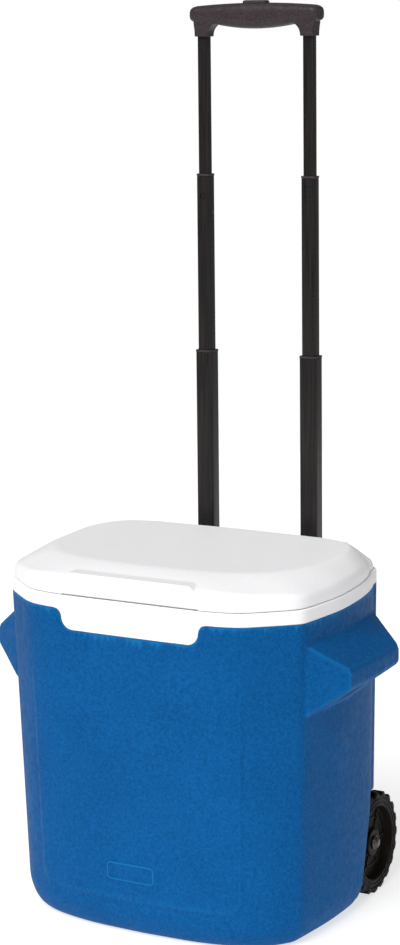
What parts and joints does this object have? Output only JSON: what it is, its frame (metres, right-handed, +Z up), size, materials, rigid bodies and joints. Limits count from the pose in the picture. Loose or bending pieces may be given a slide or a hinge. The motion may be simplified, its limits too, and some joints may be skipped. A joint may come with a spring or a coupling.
{
  "type": "wheeled cooler",
  "caption": "Insulated cooler box with a hinged lid, side carry handles, rear wheels and a telescoping pull handle.",
  "frame": {"origin": "centre of the whole object's footprint box, on the ground", "axes": "+Z up, +X to the cooler's right seen from the front, front facing -Y, pull handle at +Y"},
  "size_m": [0.439, 0.316, 0.9956],
  "materials": {
    "shell": "fine moulded texture, satin blue",
    "white": "smooth satin white",
    "foam": "rigid foam, pale yellow",
    "wheel": "moulded black",
    "steel": "bright zinc plate",
    "tube": "satin black",
    "black": "satin black"
  },
  "bodies": {
    "cooler": {"outer_shell": "shell", "foam_core": "foam", "inner_liner": "white", "axle": "steel", "handle_bracket_top": "black", "handle_bracket_foot": "black", "axle_cap_left": "steel", "axle_cap_right": "steel", "axle_washer_left": "steel", "axle_washer_right": "steel", "axle_retainer_left": "black", "axle_retainer_right": "black", "fixed_tube_left": "tube", "fixed_tube_right": "tube", "bracket_screw_top_left": "steel", "bracket_screw_top_right": "steel", "bracket_screw_foot_left": "steel", "bracket_screw_foot_right": "steel", "hinge_pin_left": "steel", "hinge_pin_right": "steel"},
    "lid": {"lid_top": "white", "lid_panel": "white", "lid_foam": "foam"},
    "left_wheel": {"wheel_left": "wheel"},
    "right_wheel": {"wheel_right": "wheel"},
    "lower_stage": {"lower_tube_left": "tube", "lower_tube_right": "tube", "lower_collar_left": "black", "lower_collar_right": "black", "lower_slider_left": "black", "lower_slider_right": "black"},
    "middle_stage": {"middle_tube_left": "tube", "middle_tube_right": "tube", "middle_collar_left": "black", "middle_collar_right": "black", "middle_slider_left": "black", "middle_slider_right": "black", "lock_button_left": "steel", "lock_button_right": "steel"},
    "grip": {"upper_tube_left": "tube", "upper_tube_right": "tube", "upper_slider_left": "black", "upper_slider_right": "black", "grip_front": "black", "grip_rear": "black", "button_spring": "steel", "grip_screw_left": "steel", "grip_screw_right": "steel"},
    "button": {"grip_button": "black", "release_bar": "black", "push_rod_left": "steel", "push_rod_right": "steel"}
  },
  "joints": [
    {"name": "lid_hinge", "type": "hinge", "parent": "cooler", "child": "lid", "pos_m": [0, 0.12, 0.3875], "axis": [-1, 0, 0], "range_deg": [0, 85]},
    {"name": "left_wheel_spin", "type": "hinge", "parent": "cooler", "child": "left_wheel", "pos_m": [-0.15375, 0.095, 0.0575], "axis": [1, 0, 0], "continuous": true},
    {"name": "right_wheel_spin", "type": "hinge", "parent": "cooler", "child": "right_wheel", "pos_m": [0.15375, 0.095, 0.0575], "axis": [1, 0, 0], "continuous": true},
    {"name": "lower_stage_slide", "type": "slide", "parent": "cooler", "child": "lower_stage", "axis": [0, 0, 1], "range_m": [-0.2486, 0]},
    {"name": "middle_stage_slide", "type": "slide", "parent": "lower_stage", "child": "middle_stage", "axis": [0, 0, 1], "range_m": [-0.1998, 0]},
    {"name": "grip_slide", "type": "slide", "parent": "middle_stage", "child": "grip", "axis": [0, 0, 1], "range_m": [-0.155, 0]},
    {"name": "button_press", "type": "slide", "parent": "grip", "child": "button", "axis": [0, 0, -1], "range_m": [0, 0.004], "stiffness_N_per_m": 400, "springref_m": -0.004, "deforming": ["button_spring"]}
  ]
}
